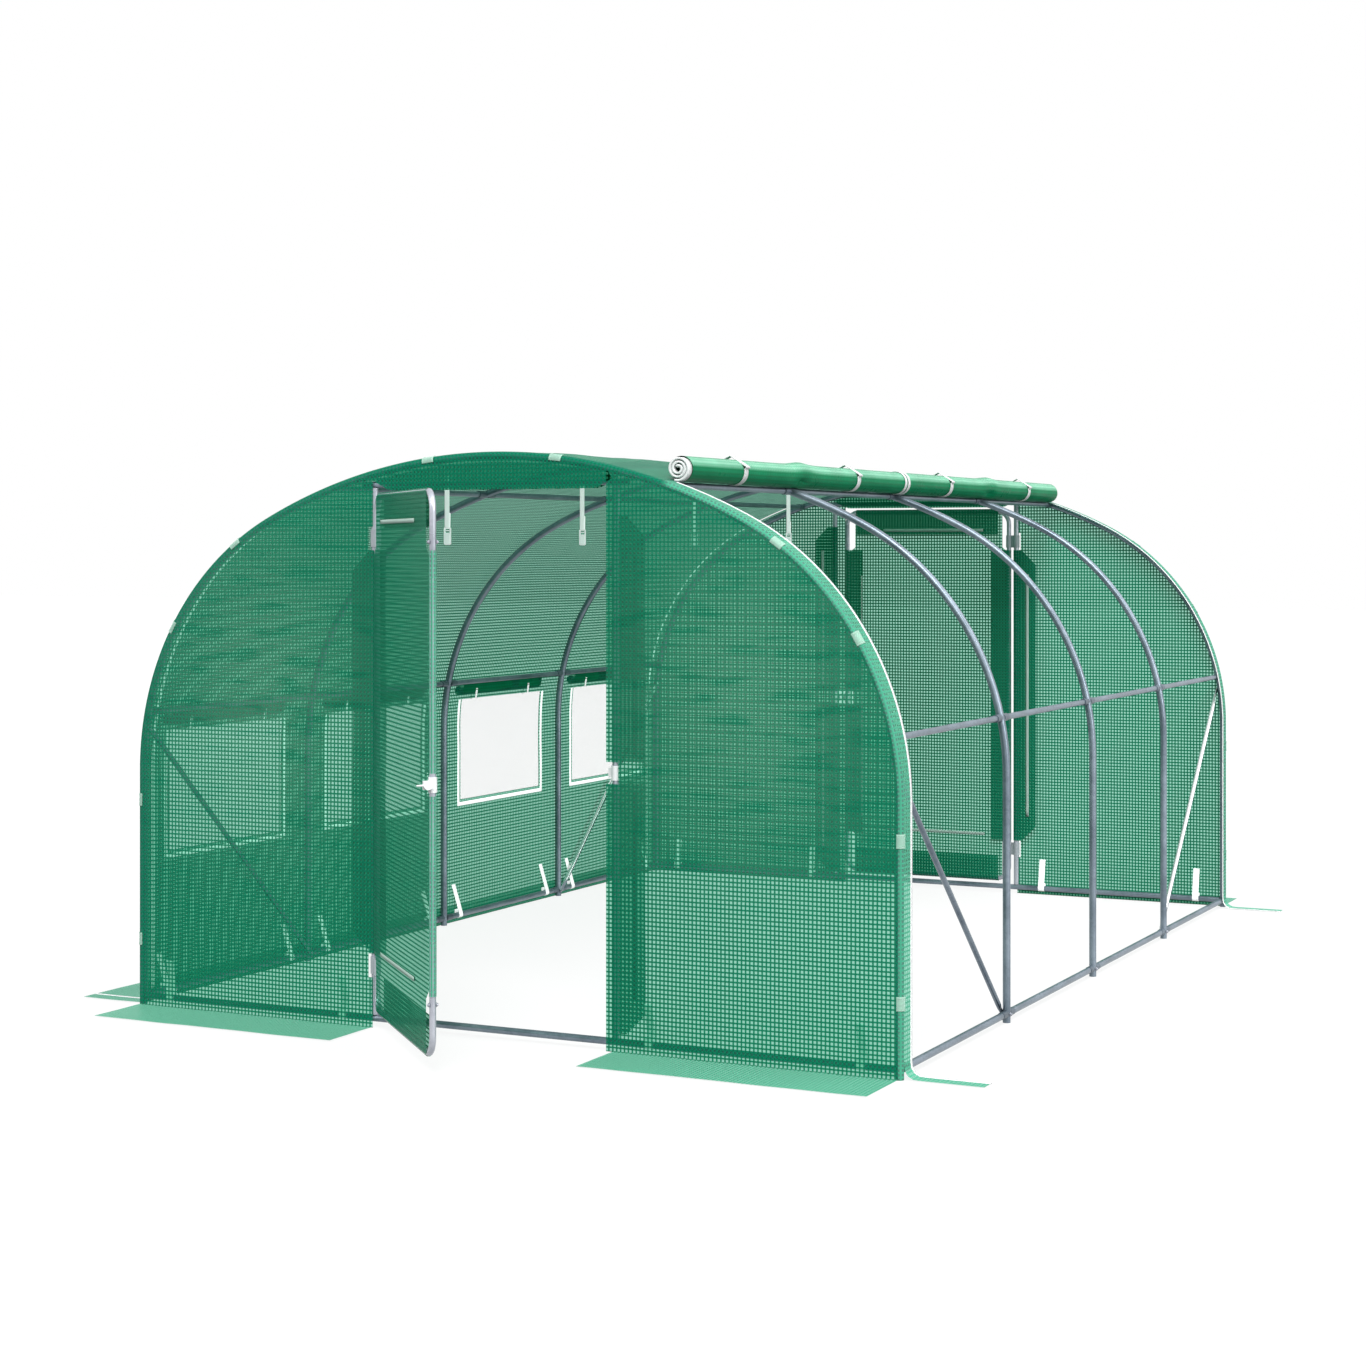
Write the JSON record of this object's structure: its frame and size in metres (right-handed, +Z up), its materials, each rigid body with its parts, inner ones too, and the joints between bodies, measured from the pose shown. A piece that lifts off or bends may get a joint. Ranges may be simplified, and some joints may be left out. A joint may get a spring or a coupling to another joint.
{
  "type": "polytunnel greenhouse",
  "caption": "Walk-in tunnel greenhouse: steel tube hoops under a green reinforced film, hinged doors at both ends, netted side windows and one long side rolled up.",
  "frame": {"origin": "On the ground at the centre of the whole plan, with the front door standing open as in the picture.", "axes": "+Z up; the tunnel runs along Y with the open front door towards -Y; +X is the rolled-up side."},
  "size_m": [3.5926, 5.2438, 2.0412],
  "materials": {
    "galvanised_steel": "galvanised, satin",
    "collar_metal": "dark galvanised, satin",
    "cover_film": "translucent woven reinforced film",
    "window_net": "fine net",
    "webbing": "woven tape",
    "white_plastic": "moulded",
    "clip_plastic": "translucent moulded"
  },
  "bodies": {
    "tunnel": {"hoop_legs": "galvanised_steel", "hoop_shoulders": "galvanised_steel", "hoop_crowns": "galvanised_steel", "side_base_rails": "galvanised_steel", "end_base_rails": "galvanised_steel", "shoulder_purlins": "galvanised_steel", "roof_purlins": "galvanised_steel", "tube_collars": "collar_metal", "braces": "galvanised_steel", "door_posts": "galvanised_steel", "header_rails": "galvanised_steel", "latch_strikes": "white_plastic", "roof_cover": "cover_film", "left_roof_cover": "cover_film", "left_wall_cover": "cover_film", "front_edge_wrap": "cover_film", "rear_edge_wrap": "cover_film", "right_edge_bands": "cover_film", "front_left_panel": "cover_film", "front_right_panel": "cover_film", "front_header_panel": "cover_film", "rear_left_panel": "cover_film", "rear_right_panel": "cover_film", "rear_header_panel": "cover_film", "front_post_sleeves": "cover_film", "rear_post_sleeves": "cover_film", "left_skirt": "cover_film", "front_skirts": "cover_film", "rear_skirts": "cover_film", "window_nets": "window_net", "window_flap_rolls": "cover_film", "side_roll": "cover_film", "roll_straps": "webbing", "hanging_straps": "webbing", "base_ties": "webbing", "cover_clips": "clip_plastic"},
    "front_door": {"front_door_frame": "galvanised_steel", "front_door_cover": "cover_film", "front_door_hinges": "white_plastic", "front_latch_clamp": "white_plastic"},
    "front_latch": {"front_latch_handle": "white_plastic"},
    "rear_door": {"rear_door_frame": "galvanised_steel", "rear_door_cover": "cover_film", "rear_door_hinges": "white_plastic", "rear_latch_clamp": "white_plastic"},
    "rear_latch": {"rear_latch_handle": "white_plastic"}
  },
  "joints": [
    {"name": "front_door_hinge", "type": "hinge", "parent": "tunnel", "child": "front_door", "pos_m": [-0.484, -1.92839, 0.98], "axis": [0, 0, -1], "range_deg": [-45, 65]},
    {"name": "front_latch_turn", "type": "hinge", "parent": "front_door", "child": "front_latch", "pos_m": [0.15261, -2.59328, 0.943], "axis": [0.7071, -0.7071, 0], "range_deg": [0, 90]},
    {"name": "rear_door_hinge", "type": "hinge", "parent": "tunnel", "child": "rear_door", "pos_m": [0.484, 2.33562, 0.98], "axis": [0, 0, -1], "range_deg": [0, 110]},
    {"name": "rear_latch_turn", "type": "hinge", "parent": "rear_door", "child": "rear_latch", "pos_m": [-0.4363, 2.35561, 0.943], "axis": [-1, 0, 0], "range_deg": [0, 90]}
  ]
}
